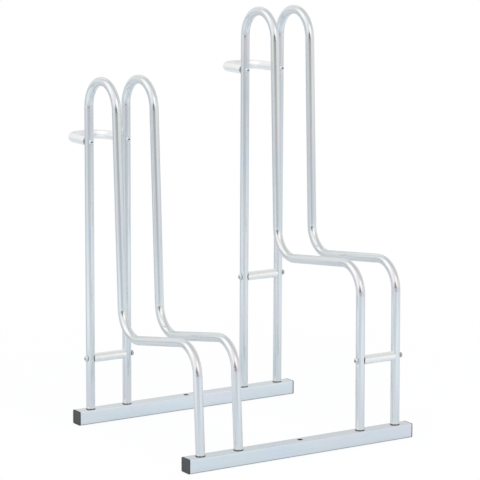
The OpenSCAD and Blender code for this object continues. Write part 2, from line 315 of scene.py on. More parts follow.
def makeLamp(name, b):
    data = bpy.data.lights.new(name, "AREA")
    data.shape = "RECTANGLE"
    data.size, data.size_y = b["size"]
    data.energy = b["power"]
    lamp = bpy.data.objects.new(name, data)
    aim = Vector(b["target"]) - Vector(b["place"])
    lamp.matrix_world = Matrix.Translation(b["place"]) @ aim.to_track_quat("-Z", "Y").to_matrix().to_4x4()
    lamp.visible_glossy = False  # the metal shows the studio's panels instead
    scene.collection.objects.link(lamp)


makeLamp("overheadBox", softBox)
scene.view_settings.view_transform = "Standard"
print("studio made")


# Finishes

def newGroup(name, inputs, outputs):
    tree = bpy.data.node_groups.new(name, "ShaderNodeTree")
    for label, kind, value in inputs:
        socket = tree.interface.new_socket(name=label, in_out="INPUT", socket_type=kind)
        if value is not None:
            socket.default_value = value
    for label, kind in outputs:
        tree.interface.new_socket(name=label, in_out="OUTPUT", socket_type=kind)
    return tree, tree.nodes.new("NodeGroupInput").outputs, tree.nodes.new("NodeGroupOutput").inputs


def useGroup(tree, group, **values):
    node = addNode(tree, "ShaderNodeGroup", node_tree=group)
    for name, value in values.items():
        feed(tree, node.inputs[name], value)
    return node.outputs


def noise(tree, vector, scale, detail, roughness=0.5):
    node = addNode(tree, "ShaderNodeTexNoise")
    feed(tree, node.inputs["Vector"], vector)
    feed(tree, node.inputs["Scale"], scale)
    node.inputs["Detail"].default_value = detail
    node.inputs["Roughness"].default_value = roughness
    return node.outputs["Fac"]


# Passivated zinc shimmers from blue over green to a trace of pink
shimmer = (
    (0.32, (0.94, 0.99, 1.05)),
    (0.44, (0.97, 1.02, 1.01)),
    (0.56, (1.0, 1.0, 1.01)),
    (0.68, (1.03, 0.985, 1.02)),
)


def makeTintGroup(stops):
    tree, given, out = newGroup(
        "platingTint",
        [("Vector", "NodeSocketVector", None), ("Size", "NodeSocketFloat", 6.0),
         ("Base", "NodeSocketColor", None), ("Strength", "NodeSocketFloat", 0.5)],
        [("Colour", "NodeSocketColor")],
    )
    ramp = addNode(tree, "ShaderNodeValToRGB")
    for index, (place, colour) in enumerate(stops):
        element = ramp.color_ramp.elements[index] if index < 2 else ramp.color_ramp.elements.new(place)
        element.position = place
        element.color = (*colour, 1)
    feed(tree, ramp.inputs[0], noise(tree, given["Vector"], given["Size"], detail=2))
    tinted = mixColour(tree, 1.0, given["Base"], ramp.outputs["Color"], "MULTIPLY")
    feed(tree, out["Colour"], mixColour(tree, given["Strength"], given["Base"], tinted))
    return tree


# Fine lines that drawing or rolling leaves along the tube, and the soft unevenness under them
def makeGrainGroup():
    tree, given, out = newGroup(
        "drawnGrain",
        [("Vector", "NodeSocketVector", None), ("Stretch", "NodeSocketVector", (1, 1, 0.02)),
         ("Fine", "NodeSocketFloat", 900.0), ("Broad", "NodeSocketFloat", 252.0),
         ("Wave", "NodeSocketFloat", 45.0)],
        [("Lines", "NodeSocketFloat"), ("Waves", "NodeSocketFloat"), ("Streaks", "NodeSocketFloat")],
    )
    stretched = vectorCalc(tree, "MULTIPLY", given["Vector"], given["Stretch"])
    feed(tree, out["Lines"], noise(tree, stretched, given["Fine"], detail=4, roughness=0.6))
    feed(tree, out["Streaks"], noise(tree, stretched, given["Broad"], detail=2, roughness=0.7))
    feed(tree, out["Waves"], noise(tree, given["Vector"], given["Wave"], detail=2))
    return tree


# Streaks lighten and darken the metal, fine lines vary its sheen, and deep in a socket it is dull, with painted
# shade making it dark
def makeStreakAndShadeGroup():
    tree, given, out = newGroup(
        "zincWear",
        [("Lines", "NodeSocketFloat", None), ("Streaks", "NodeSocketFloat", None),
         ("Deep", "NodeSocketFloat", None), ("Streak", "NodeSocketFloat", 0.02),
         ("Sheen", "NodeSocketFloat", 0.2), ("Uneven", "NodeSocketFloat", 0.16),
         ("Darkest", "NodeSocketFloat", 0.3), ("Palest", "NodeSocketFloat", 0.7),
         ("Socket Loss", "NodeSocketFloat", 0.7), ("Socket Sheen", "NodeSocketFloat", 0.3)],
        [("Shade", "NodeSocketFloat"), ("Roughness", "NodeSocketFloat")],
    )
    swing = calc(tree, "MULTIPLY_ADD", fade(tree, given["Streaks"], given["Darkest"], given["Palest"]), 2, -1)
    streak = calc(tree, "MULTIPLY_ADD", swing, given["Streak"], 1)  # the swing goes from -1 to 1
    # Painted shade in a socket: there the metal keeps only part of its colour
    kept = calc(tree, "SUBTRACT", 1, calc(tree, "MULTIPLY", given["Deep"], given["Socket Loss"]))
    feed(tree, out["Shade"], calc(tree, "MULTIPLY", streak, kept))
    uneven = calc(tree, "MULTIPLY", calc(tree, "SUBTRACT", given["Lines"], 0.5), given["Uneven"])
    dull = calc(tree, "MULTIPLY_ADD", given["Deep"], given["Socket Sheen"], given["Sheen"])
    feed(tree, out["Roughness"], calc(tree, "ADD", uneven, dull, clamp=True))
    return tree


# Painted shade: a dark line along a joint, the legs' with the bars, and the bars' with the floor
def makeJointShadeGroup():
    tree, given, out = newGroup(
        "jointLine",
        [("Vector", "NodeSocketVector", None), ("Low", "NodeSocketFloat", 0.001),
         ("High", "NodeSocketFloat", 0.002), ("Kept", "NodeSocketFloat", 0.5)],
        [("Shade", "NodeSocketFloat")],
    )
    split = addNode(tree, "ShaderNodeSeparateXYZ")
    feed(tree, split.inputs[0], given["Vector"])
    above = fade(tree, split.outputs["Z"], given["Low"], given["High"])
    lost = calc(tree, "SUBTRACT", 1, given["Kept"])
    feed(tree, out["Shade"], calc(tree, "MULTIPLY_ADD", above, lost, given["Kept"]))
    return tree


tintGroup = makeTintGroup(shimmer)
grainGroup = makeGrainGroup()
streakAndShadeGroup = makeStreakAndShadeGroup()
jointShadeGroup = makeJointShadeGroup()

# Tint, streak and grain are strengths, size is the tint's noise scale, and the grain runs where stretch is small.
# A joint is its painted shade line's lower and upper height in millimetres, and the share of colour kept there.
finishes = {
    "zincTube": {
        "colour": (0.816, 0.82, 0.825, 1), "roughness": 0.14, "tint": 0.7, "size": 9.0, "grain": 0.05,
        "streak": 0.05, "stretch": (1, 1, 0.02), "onTube": True, "joint": (31.1, 32.6, 0.24),
    },
    "zincLoop": {
        "colour": (0.995, 0.985, 0.973, 1), "roughness": 0.36, "tint": 0.2, "size": 9.0, "grain": 0.04,
        "streak": 0.03, "stretch": (1, 1, 0.02), "onTube": True,
    },
    "spacerZinc": {
        "colour": (0.985, 0.975, 0.967, 1), "roughness": 0.3, "tint": 0.3, "size": 9.0, "grain": 0.04,
        "streak": 0.04, "stretch": (1, 1, 0.02), "onTube": True,
    },
    "frontZincBar": {
        "colour": (0.84, 0.865, 0.895, 1), "roughness": 0.2, "tint": 0.7, "size": 5.0, "grain": 0.05,
        "streak": 0.015, "stretch": (0.02, 1, 1), "onTube": False, "joint": (1.0, 2.8, 0.45),
    },
    # The rear bar's colour is lighter than the front bar's: painted light that makes up for the shade the rear bar
    # gets
    "rearZincBar": {
        "colour": (0.91, 0.935, 0.965, 1), "roughness": 0.2, "tint": 0.7, "size": 5.0, "grain": 0.05,
        "streak": 0.015, "stretch": (0.02, 1, 1), "onTube": False, "joint": (1.0, 2.8, 0.45),
    },
    "brightZinc": {
        "colour": (0.82, 0.84, 0.87, 1), "roughness": 0.2, "tint": 0.3, "size": 30.0, "grain": 0.03,
        "streak": 0.02, "stretch": (1, 1, 1), "onTube": False,
    },
    "boltZinc": {
        "colour": (0.72, 0.72, 0.73, 1), "roughness": 0.28, "tint": 0.3, "size": 30.0, "grain": 0.03,
        "streak": 0.02, "stretch": (1, 1, 1), "onTube": False,
    },
    "nutZinc": {
        "colour": (0.53, 0.535, 0.55, 1), "roughness": 0.24, "tint": 0.3, "size": 30.0, "grain": 0.03,
        "streak": 0.02, "stretch": (1, 1, 1), "onTube": False,
    },
}
relief = {"waves": 1.5, "zinc": 0.2 * mm, "plastic": 0.1 * mm}  # the waves' share of it, and its depths


def addRelief(tree, shader, height, strength, depth):
    bump = addNode(tree, "ShaderNodeBump")
    bump.inputs["Strength"].default_value = strength
    bump.inputs["Distance"].default_value = depth
    feed(tree, bump.inputs["Height"], height)
    feed(tree, shader.inputs["Normal"], bump.outputs["Normal"])


def makeZinc(name, f):
    material = bpy.data.materials.new(name)
    material.use_nodes = True
    tree = material.node_tree
    shader = tree.nodes["Principled BSDF"]
    shader.inputs["Metallic"].default_value = 1
    place = addNode(tree, "ShaderNodeTexCoord").outputs["Object"]
    space = place
    if f["onTube"]:  # the grain follows the tube through its bends
        space = addNode(tree, "ShaderNodeAttribute", attribute_name="unbent").outputs["Vector"]
    deep = addNode(tree, "ShaderNodeAttribute", attribute_name="deep").outputs["Fac"]
    tint = useGroup(tree, tintGroup, Vector=space, Size=f["size"], Base=f["colour"], Strength=f["tint"])
    grain = useGroup(tree, grainGroup, Vector=space, Stretch=f["stretch"])
    streaksAndShade = useGroup(tree, streakAndShadeGroup, Lines=grain["Lines"], Streaks=grain["Streaks"], Deep=deep,
                    Streak=f["streak"], Sheen=f["roughness"])
    shade = streaksAndShade["Shade"]
    # Painted shade along the joint, at the legs' foot and along the bars' bottom edge
    if "joint" in f:
        low, high, kept = f["joint"]
        joint = useGroup(tree, jointShadeGroup, Vector=place, Low=low * mm, High=high * mm, Kept=kept)
        shade = calc(tree, "MULTIPLY", shade, joint["Shade"])
    feed(tree, shader.inputs["Base Color"], vectorCalc(tree, "SCALE", tint["Colour"], None, None, shade))
    feed(tree, shader.inputs["Roughness"], streaksAndShade["Roughness"])
    height = calc(tree, "MULTIPLY_ADD", grain["Waves"], relief["waves"], grain["Lines"])
    addRelief(tree, shader, height, f["grain"], relief["zinc"])
    return material


plastic = {
    "dark": (0.045, 0.045, 0.047, 1), "pale": (0.064, 0.064, 0.067, 1), "roughness": 0.42, "uneven": 0.16,
    "pebbles": 1400, "patches": 60, "grain": 0.25,
}


def makePlastic(name, p):
    material = bpy.data.materials.new(name)
    material.use_nodes = True
    tree = material.node_tree
    shader = tree.nodes["Principled BSDF"]
    space = addNode(tree, "ShaderNodeTexCoord").outputs["Object"]
    pebbles = noise(tree, space, p["pebbles"], detail=2)
    patches = noise(tree, space, p["patches"], detail=3)
    feed(tree, shader.inputs["Base Color"], mixColour(tree, patches, p["dark"], p["pale"]))
    feed(tree, shader.inputs["Roughness"], calc(tree, "MULTIPLY_ADD", patches, p["uneven"], p["roughness"]))
    addRelief(tree, shader, pebbles, p["grain"], relief["plastic"])
    return material


materials = {name: makeZinc(name, finish) for name, finish in finishes.items()}
materials["blackPlastic"] = makePlastic("blackPlastic", plastic)
print("finishes made")


# Meshes built from rings of points, in millimetres

ringSides = 48


def ringAngles():
    return [2 * math.pi * i / ringSides for i in range(ringSides)]


def circleRing(radius, z):
    return [Vector((radius * math.cos(a), radius * math.sin(a), z)) for a in ringAngles()]


def hexRadius(flats, a):  # from the middle to the hexagon's outline
    return flats / 2 / math.cos((a + math.pi / 6) % (math.pi / 3) - math.pi / 6)


def hexRing(flats, z):
    ring = []
    for a in ringAngles():
        radius = hexRadius(flats, a)
        ring.append(Vector((radius * math.cos(a), radius * math.sin(a), z)))
    return ring


def squareRing(side, corner, z, arc=8):
    ring = []
    for quarter in range(4):
        middle = Vector((side / 2 - corner, side / 2 - corner))
        for i in range(arc + 1):
            angle = math.pi / 2 * i / arc
            point = middle + corner * Vector((math.cos(angle), math.sin(angle)))
            point.rotate(Matrix.Rotation(quarter * math.pi / 2, 2))
            ring.append(Vector((point.x, point.y, z)))
    return ring


def stackRings(rings, closed=False):
    mesh = bmesh.new()
    rows = [[mesh.verts.new(point) for point in ring] for ring in rings]
    pairs = list(zip(rows, rows[1:])) + ([(rows[-1], rows[0])] if closed else [])
    for low, high in pairs:
        for i in range(len(low)):
            j = (i + 1) % len(low)
            mesh.faces.new((low[i], low[j], high[j], high[i]))
    if not closed:
        mesh.faces.new(list(reversed(rows[0])))
        mesh.faces.new(rows[-1])
    bmesh.ops.recalc_face_normals(mesh, faces=mesh.faces)
    return mesh


def toObject(name, mesh, sharpAngle=35):
    mesh.transform(Matrix.Scale(mm, 4))
    data = bpy.data.meshes.new(name)
    mesh.to_mesh(data)
    mesh.free()
    data.shade_smooth()
    data.set_sharp_from_angle(angle=math.radians(sharpAngle))
    piece = bpy.data.objects.new(name, data)
    scene.collection.objects.link(piece)
    return piece


def settle(piece, sharpAngle=35):  # its modifiers become a plain mesh
    piece.data.update()
    graph = bpy.context.evaluated_depsgraph_get()
    data = bpy.data.meshes.new_from_object(piece.evaluated_get(graph), depsgraph=graph)
    old = piece.data
    piece.modifiers.clear()
    piece.data = data
    bpy.data.meshes.remove(old)
    data.shade_smooth()
    data.set_sharp_from_angle(angle=math.radians(sharpAngle))
    return piece


def standFor(piece, node, material=None):
    if material:
        piece.data.materials.clear()
        piece.data.materials.append(materials[material])
    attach(piece, "root")
    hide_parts(node)


# Geometry node trees

def newGeometryTree(name, inputs):
    tree = bpy.data.node_groups.new(name, "GeometryNodeTree")
    for label, kind in inputs:
        tree.interface.new_socket(name=label, in_out="INPUT", socket_type=kind)
    tree.interface.new_socket(name="Geometry", in_out="OUTPUT", socket_type="NodeSocketGeometry")
    return tree, tree.nodes.new("NodeGroupInput").outputs, tree.nodes.new("NodeGroupOutput").inputs


def finishTree(tree, geometry, material, out):
    real = addNode(tree, "GeometryNodeRealizeInstances")
    feed(tree, real.inputs["Geometry"], geometry)
    paint = addNode(tree, "GeometryNodeSetMaterial")
    feed(tree, paint.inputs["Geometry"], real.outputs["Geometry"])
    feed(tree, paint.inputs["Material"], material)
    feed(tree, out["Geometry"], paint.outputs["Geometry"])


def storeAttribute(tree, geometry, name, kind, value):
    node = addNode(tree, "GeometryNodeStoreNamedAttribute", data_type=kind, domain="POINT")
    feed(tree, node.inputs["Geometry"], geometry)
    node.inputs["Name"].default_value = name
    feed(tree, node.inputs["Value"], value)
    return node.outputs["Geometry"]


def readAttribute(tree, name, kind):
    node = addNode(tree, "GeometryNodeInputNamedAttribute", data_type=kind)
    node.inputs["Name"].default_value = name
    return node.outputs["Attribute"]


# A tube swept along a path: oval where it bends, dented where a bolt pulls on it
def makeTubeTree():
    tree, given, out = newGeometryTree("bentTube", [
        ("Geometry", "NodeSocketGeometry"), ("Radius", "NodeSocketFloat"), ("Sides", "NodeSocketInt"),
        ("Widening", "NodeSocketVector"), ("Drawn", "NodeSocketFloat"), ("Start", "NodeSocketFloat"),
        ("Material", "NodeSocketMaterial"),
    ])
    curve = addNode(tree, "GeometryNodeMeshToCurve")
    feed(tree, curve.inputs["Mesh"], given["Geometry"])
    place = addNode(tree, "GeometryNodeInputPosition").outputs["Position"]
    along = addNode(tree, "GeometryNodeSplineParameter").outputs["Length"]
    path = storeAttribute(tree, curve.outputs["Curve"], "middle", "FLOAT_VECTOR", place)
    path = storeAttribute(tree, path, "along", "FLOAT", along)
    circle = addNode(tree, "GeometryNodeCurvePrimitiveCircle")
    feed(tree, circle.inputs["Resolution"], given["Sides"])
    feed(tree, circle.inputs["Radius"], given["Radius"])
    rim = storeAttribute(tree, circle.outputs["Curve"], "rim", "FLOAT_VECTOR", place)
    sweep = addNode(tree, "GeometryNodeCurveToMesh")
    feed(tree, sweep.inputs["Curve"], path)
    feed(tree, sweep.inputs["Profile Curve"], rim)
    middle = readAttribute(tree, "middle", "FLOAT_VECTOR")
    reach = vectorCalc(tree, "SUBTRACT", place, middle)
    oval = vectorCalc(tree, "MULTIPLY", readAttribute(tree, "oval", "FLOAT"), given["Widening"])
    drawn = calc(tree, "MULTIPLY", readAttribute(tree, "bend", "FLOAT"), given["Drawn"])
    reach = vectorCalc(tree, "MULTIPLY_ADD", reach, vectorCalc(tree, "SUBTRACT", oval, drawn), reach)
    share = vectorCalc(tree, "DIVIDE", vectorCalc(tree, "ABSOLUTE", reach), given["Radius"])
    cube = vectorCalc(tree, "MULTIPLY", vectorCalc(tree, "MULTIPLY", share, share), share)
    press = vectorCalc(tree, "DIVIDE", readAttribute(tree, "dent", "FLOAT_VECTOR"), given["Radius"])
    loss = vectorCalc(tree, "MULTIPLY", vectorCalc(tree, "MULTIPLY", press, cube), reach)
    move = addNode(tree, "GeometryNodeSetPosition")
    feed(tree, move.inputs["Geometry"], sweep.outputs["Mesh"])
    feed(tree, move.inputs["Position"], vectorCalc(tree, "ADD", middle, vectorCalc(tree, "SUBTRACT", reach, loss)))
    lengthwise = addNode(tree, "ShaderNodeCombineXYZ")
    fromStart = calc(tree, "SUBTRACT", readAttribute(tree, "along", "FLOAT"), given["Start"])
    feed(tree, lengthwise.inputs["Z"], fromStart)
    unbent = vectorCalc(tree, "ADD", readAttribute(tree, "rim", "FLOAT_VECTOR"), lengthwise.outputs[0])
    tube = storeAttribute(tree, move.outputs["Geometry"], "unbent", "FLOAT_VECTOR", unbent)
    finishTree(tree, tube, given["Material"], out)
    return tree


# Copies of one template at points, each turned so that its Z follows the point's aim
def makeCopiesTree():
    tree, given, out = newGeometryTree("copiesAtPoints", [
        ("Geometry", "NodeSocketGeometry"), ("Template", "NodeSocketObject"), ("Material", "NodeSocketMaterial"),
    ])
    template = addNode(tree, "GeometryNodeObjectInfo")
    feed(tree, template.inputs["Object"], given["Template"])
    turn = addNode(tree, "FunctionNodeAlignRotationToVector", axis="Z")
    feed(tree, turn.inputs["Vector"], readAttribute(tree, "aim", "FLOAT_VECTOR"))
    copies = addNode(tree, "GeometryNodeInstanceOnPoints")
    feed(tree, copies.inputs["Points"], given["Geometry"])
    feed(tree, copies.inputs["Instance"], template.outputs["Geometry"])
    feed(tree, copies.inputs["Rotation"], turn.outputs["Rotation"])
    finishTree(tree, copies.outputs["Instances"], given["Material"], out)
    return tree


def useTree(piece, tree, **values):
    modifier = piece.modifiers.new(tree.name, "NODES")
    modifier.node_group = tree
    for item in tree.interface.items_tree:
        if item.in_out == "INPUT" and item.name in values:
            modifier[item.identifier] = values[item.name]


tubeTree = makeTubeTree()
copiesTree = makeCopiesTree()


def pointMesh(name, points, edges, **attributes):
    data = bpy.data.meshes.new(name)
    data.from_pydata([Vector(p) * mm for p in points], edges, [])
    for label, values in attributes.items():
        kind = "FLOAT" if isinstance(values[0], (int, float)) else "FLOAT_VECTOR"
        attribute = data.attributes.new(label, kind, "POINT")
        flat = values if kind == "FLOAT" else [x for v in values for x in v]
        attribute.data.foreach_set("value" if kind == "FLOAT" else "vector", flat)
    piece = bpy.data.objects.new(name, data)
    scene.collection.objects.link(piece)
    return piece


def sweepTube(name, points, depths, dents, t, widening, start=0, material="zincTube"):
    edges = [(i, i + 1) for i in range(len(points) - 1)]
    bend = [soften(depth, tube["markLength"]) for depth in depths]
    oval = [soften(depth, tube["ovalLength"]) for depth in depths]
    piece = pointMesh(name, points, edges, bend=bend, oval=oval, dent=[Vector(d) * mm for d in dents])
    useTree(piece, tubeTree, Radius=t["diameter"] / 2 * mm, Sides=t["sides"], Widening=widening,
            Drawn=tube["drawnShare"], Start=start * mm, Material=materials[material])
    wall = piece.modifiers.new("wall", "SOLIDIFY")
    wall.thickness = t["wall"] * mm
    wall.offset = -1  # inwards
    return settle(piece, sharpAngle=50)


def copyTo(name, places, aims, template, material):
    piece = pointMesh(name, places, [], aim=aims)
    useTree(piece, copiesTree, Template=template, Material=materials[material])
    return settle(piece)


# Driving sizes of the rack, in millimetres and degrees

rack = {
    "barSide": 30, "barWall": 1.5, "barCorner": 3, "barSpacing": 444, "anchorBore": 11,
    "legSpacing": 89, "legBore": 21, "loopArm": 60, "loopDrop": 141,
}
tube = {
    "diameter": 19, "wall": 1.5, "bendRadius": 58, "sides": 48,
    "step": 5, "fineSteps": 6, "fineLength": 9,  # the path's points stand closer near the ends of each bend
    "markLength": 4.5, "drawnShare": 0.021,  # the bending die leaves a step where a bend starts
    "ovalLength": 40,
}
places = {
    "low": {"middle": -193, "top": 744, "run": 220, "lean": 2.9, "slope": 9.6, "footLean": 3.9,
            "rearSpacer": 140, "frontSpacer": None},
    "high": {"middle": 193, "top": 873, "run": 352, "lean": 2.2, "slope": 6.6, "footLean": 0.8,
             "rearSpacer": 277, "frontSpacer": 176},
}
rearY = rack["barSpacing"] / 2
tubeRadius = tube["diameter"] / 2
farOff = 1000  # stands for no bend near


def meet(a, u, b, v):  # where the lines a + u and b + v cross
    gap = b - a
    return a + u * ((gap.x * v.y - gap.y * v.x) / (u.x * v.y - u.y * v.x))


def soften(depth, length):  # 0 before a bend, 1 inside it, with the change spread over the length
    share = min(max(depth / length + 0.5, 0), 1)
    return share * share * (3 - 2 * share)


def stations(length, step):  # closer together near both ends
    fine = min(tube["fineLength"], length / 3)
    edge = [fine * i / tube["fineSteps"] for i in range(tube["fineSteps"])]
    count = max(1, round((length - 2 * fine) / step))
    middle = [fine + (length - 2 * fine) * i / count for i in range(count + 1)]
    return edge + middle + [length - e for e in reversed(edge[1:])]


# Follows straight lengths and turns, and notes how deep each point lies inside a bend
def walk(start, heading, moves, radius, step):
    points, depths = [], []
    place, angle = Vector(start), heading
    for index, (straight, turn) in enumerate(moves):
        way = Vector((math.cos(angle), math.sin(angle)))
        for s in stations(straight, step):
            points.append(place + way * s)
            after = straight - s if turn else farOff
            depths.append(-min(s, after) if index else -after)
        place = place + way * straight
        if turn:
            side = math.copysign(radius, turn)
            centre = place + side * Vector((-way.y, way.x))
            length = abs(turn) * radius
            for s in stations(length, step):
                spoke = Matrix.Rotation(turn * s / length, 2) @ (place - centre)
                points.append(centre + spoke)
                depths.append(min(s, length - s))
            place, angle = centre + Matrix.Rotation(turn, 2) @ (place - centre), angle + turn
    points.append(place)
    depths.append(-farOff)
    return points, depths


def hoopMoves(p):
    lean, slope, foot = (math.radians(p[key]) for key in ("lean", "slope", "footLean"))
    radius = tube["bendRadius"]
    top = Vector((rearY - radius, p["top"] - tubeRadius - radius))
    upperStart = top + radius * Vector((-math.cos(lean), math.sin(lean)))
    upperWay = Vector((-math.sin(lean), -math.cos(lean)))
    runStart, runWay = Vector((0, p["run"])), Vector((-math.cos(slope), math.sin(slope)))
    footStart, footWay = Vector((-rearY, rack["barSide"])), Vector((math.sin(foot), math.cos(foot)))
    rearCorner = meet(upperStart, upperWay, runStart, runWay)
    frontCorner = meet(runStart, runWay, footStart, footWay)
    rearTurn, frontTurn = math.pi / 2 + slope - lean, math.pi / 2 + slope - foot
    rearCut, frontCut = radius * math.tan(rearTurn / 2), radius * math.tan(frontTurn / 2)
    intoBar = (rack["barSide"] - rack["barWall"]) / math.cos(foot) - tubeRadius * math.tan(foot)
    return [
        (top.y - rack["barWall"], math.pi - lean),
        ((rearCorner - upperStart).length - rearCut, -rearTurn),
        ((frontCorner - rearCorner).length - rearCut - frontCut, frontTurn),
        ((frontCorner - footStart).length - frontCut + intoBar, 0),
    ]


def frontLegY(p, z):
    return -rearY + (z - rack["barSide"]) * math.tan(math.radians(p["footLean"]))


def legX(p, side):
    return p["middle"] + side * rack["legSpacing"] / 2


# Hoops

hoop = {
    "ovalShare": 0.02,
    "dent": 1.3, "screwDent": 0.4, "dentReach": 9.0,  # where a spacer's bolt or a loop's screw pulls on the tube
}


def makeHoop(name, p, side):
    moves = hoopMoves(p)
    path, depths = walk((rearY, rack["barWall"]), math.pi / 2, moves, tube["bendRadius"], tube["step"])
    pulls = [
        (Vector((rearY, p["rearSpacer"])), Vector((hoop["dent"], 0, 0))),
        (Vector((rearY, p["top"] - rack["loopDrop"])), Vector((0, hoop["screwDent"], 0))),
    ]
    if p["frontSpacer"]:
        pulls.append((Vector((frontLegY(p, p["frontSpacer"]), p["frontSpacer"])), Vector((hoop["dent"], 0, 0))))
    dents = []
    for point in path:
        dent = Vector((0, 0, 0))
        for place, pull in pulls:
            dent += pull * math.exp(-((point - place).length / hoop["dentReach"]) ** 2)
        dents.append(dent)
    points = [(legX(p, side), point.x, point.y) for point in path]
    oval = hoop["ovalShare"]
    return sweepTube(name + "Tube", points, depths, dents, tube, (oval, -oval, -oval), moves[0][0])


for level in ("low", "high"):
    for side, word in ((-1, "left"), (1, "right")):
        piece = makeHoop(level + word.capitalize() + "Hoop", places[level], side)
        standFor(piece, f"{level}_{word}_hoop")
print("hoops made")


# Spacers between the hoops, with their bolts and nuts

spacer = {
    "diameter": 19, "wall": 2, "sides": 48, "step": 5,
    "overlap": 1.25,  # its ends reach into the legs' outline this far
    "saddle": 0.34,  # and follow this share of the legs' roundness
}
bolt = {
    "head": 13.4, "headHeight": 4.4, "rim": 0.5, "lip": 0.3, "domeSteps": 12,
    "socket": 4, "socketDepth": 2.6, "socketTaper": 0.02, "drill": 0.2, "drillTip": 0.5,
    "mouth": 0.35, "mouthEdge": 0.12, "mouthDrop": 0.25,
    "shank": 6, "seat": 1.0,  # the head's underside follows the tube this far
    "tip": 0.6, "tipEdge": 0.1, "tipLength": 0.5, "end": 1,
    "nutFlats": 10, "nutHeight": 5, "nutFace": 0.94, "nutSlope": 30, "sunk": 0.8, "bore": 6.1, "boreEdge": 0.5,
}
spacerPlaces = {
    "low_rear": (places["low"], rearY, places["low"]["rearSpacer"]),
    "high_rear": (places["high"], rearY, places["high"]["rearSpacer"]),
    "high_front": (places["high"], frontLegY(places["high"], places["high"]["frontSpacer"]),
                   places["high"]["frontSpacer"]),
}


def domeRings(b):
    radius, height = b["head"] / 2, b["headHeight"]
    domeHeight = height - b["rim"]
    sphere = (radius ** 2 + domeHeight ** 2) / (2 * domeHeight)  # the dome is part of a sphere of this radius
    mouth = b["socket"] / 2 / math.cos(math.pi / 6) + b["mouth"]
    spread, end = math.asin(radius / sphere), math.asin(mouth / sphere)
    rings = [circleRing(radius - b["lip"], -b["seat"]), circleRing(radius, b["lip"] - b["seat"])]
    for i in range(b["domeSteps"] + 1):
        angle = spread + (end - spread) * i / b["domeSteps"]
        z = b["rim"] + domeHeight - sphere + sphere * math.cos(angle)
        rings.append(circleRing(sphere * math.sin(angle), z))
    top, bottom = rings[-1][0].z, height - b["socketDepth"]
    return rings + [
        circleRing(mouth - b["mouthEdge"], top - b["socketTaper"]),
        hexRing(b["socket"], top - b["mouthDrop"]),
        hexRing(b["socket"] - b["socketTaper"], bottom),
        circleRing(b["socket"] * b["drill"], bottom - b["drillTip"]),
    ]


# Head up along Z, seat on the X-Y plane, shank down
def makeFastener(name, b, length):
    radius = b["shank"] / 2
    rings = [
        circleRing(radius - b["tip"], -length),
        circleRing(radius - b["tipEdge"], b["tipLength"] - length),
        circleRing(radius, -b["seat"]),
    ]
    piece = toObject(name, stackRings(rings + domeRings(b)))
    # The socket's rings are marked, for painted shade and a duller sheen there
    deep = piece.data.attributes.new("deep", "FLOAT", "POINT")
    inSocket = 2 * ringSides  # the last two rings
    shares = [0.0] * (len(piece.data.vertices) - inSocket) + [1.0] * inSocket
    deep.data.foreach_set("value", shares)
    return piece


def makeNut(name, b):
    height, sunk, bore = b["nutHeight"], b["sunk"], b["bore"] / 2
    face, mouth = b["nutFlats"] / 2 * b["nutFace"], bore + b["boreEdge"]
    slope = math.tan(math.radians(b["nutSlope"]))

    def shoulder(z, way):  # the hexagon's corners fall away from the round face
        ring = []
        for a in ringAngles():
            radius = hexRadius(b["nutFlats"], a)
            ring.append(Vector((radius * math.cos(a), radius * math.sin(a), z + way * (radius - face) * slope)))
        return ring

    rings = [
        circleRing(bore, b["boreEdge"] - sunk), circleRing(mouth, -sunk), circleRing(face, -sunk),
        shoulder(-sunk, 1), shoulder(height, -1),
        circleRing(face, height), circleRing(mouth, height), circleRing(bore, height - b["boreEdge"]),
    ]
    return toObject(name, stackRings(rings, closed=True), sharpAngle=25)


bolts = makeFastener("boltTemplate", bolt, rack["legSpacing"] + tube["diameter"] + bolt["nutHeight"] + bolt["end"])
nuts = makeNut("nutTemplate", bolt)


def fallBack(away):  # how far a leg's side has curved back at this distance from its middle
    return tubeRadius - math.sqrt(tubeRadius ** 2 - min(abs(away), tubeRadius) ** 2)


def fitBetweenLegs(piece, middle, y, half):
    for vertex in piece.data.vertices:
        longer = spacer["saddle"] * fallBack(vertex.co.y / mm - y)
        vertex.co.x = (middle + (vertex.co.x / mm - middle) * (1 + longer / half)) * mm


for name, (p, y, z) in spacerPlaces.items():
    level, where = name.split("_")
    title = level + where.capitalize()
    half = rack["legSpacing"] / 2 - tubeRadius + spacer["overlap"]
    count = round(2 * half / spacer["step"])
    points = [(p["middle"] - half + 2 * half * i / count, y, z) for i in range(count + 1)]
    depths, dents = [-farOff] * len(points), [(0, 0, 0)] * len(points)
    piece = sweepTube(title + "SpacerTube", points, depths, dents, spacer, (0, 0, 0), 0, "spacerZinc")
    fitBetweenLegs(piece, p["middle"], y, half)
    standFor(piece, name + "_spacer")
    outer = rack["legSpacing"] / 2 + tubeRadius
    piece = copyTo(title + "DomedBolt", [(p["middle"] - outer, y, z)], [(-1, 0, 0)], bolts, "boltZinc")
    standFor(piece, name + "_bolt")
    piece = copyTo(title + "HexNut", [(p["middle"] + outer, y, z)], [(1, 0, 0)], nuts, "nutZinc")
    standFor(piece, name + "_nut")
print("spacers, bolts and nuts made")


# Loops behind the rear legs, with their screws

loop = {"diameter": 19, "wall": 1.5, "sides": 48, "step": 4, "ovalShare": 0.03, "saddle": 0.2, "saddleLength": 12}
screw = {**bolt, "head": 11, "headHeight": 4.0, "socketDepth": 1.9, "seat": 0.35, "length": 32}
screws = makeFastener("screwTemplate", screw, screw["length"])


def fitBehindLegs(piece, p, start):
    for vertex in piece.data.vertices:
        side = 1 if vertex.co.x / mm > p["middle"] else -1
        share = max(0, 1 - (vertex.co.y / mm - start) / loop["saddleLength"])
        vertex.co.y -= share * loop["saddle"] * fallBack(vertex.co.x / mm - legX(p, side)) * mm


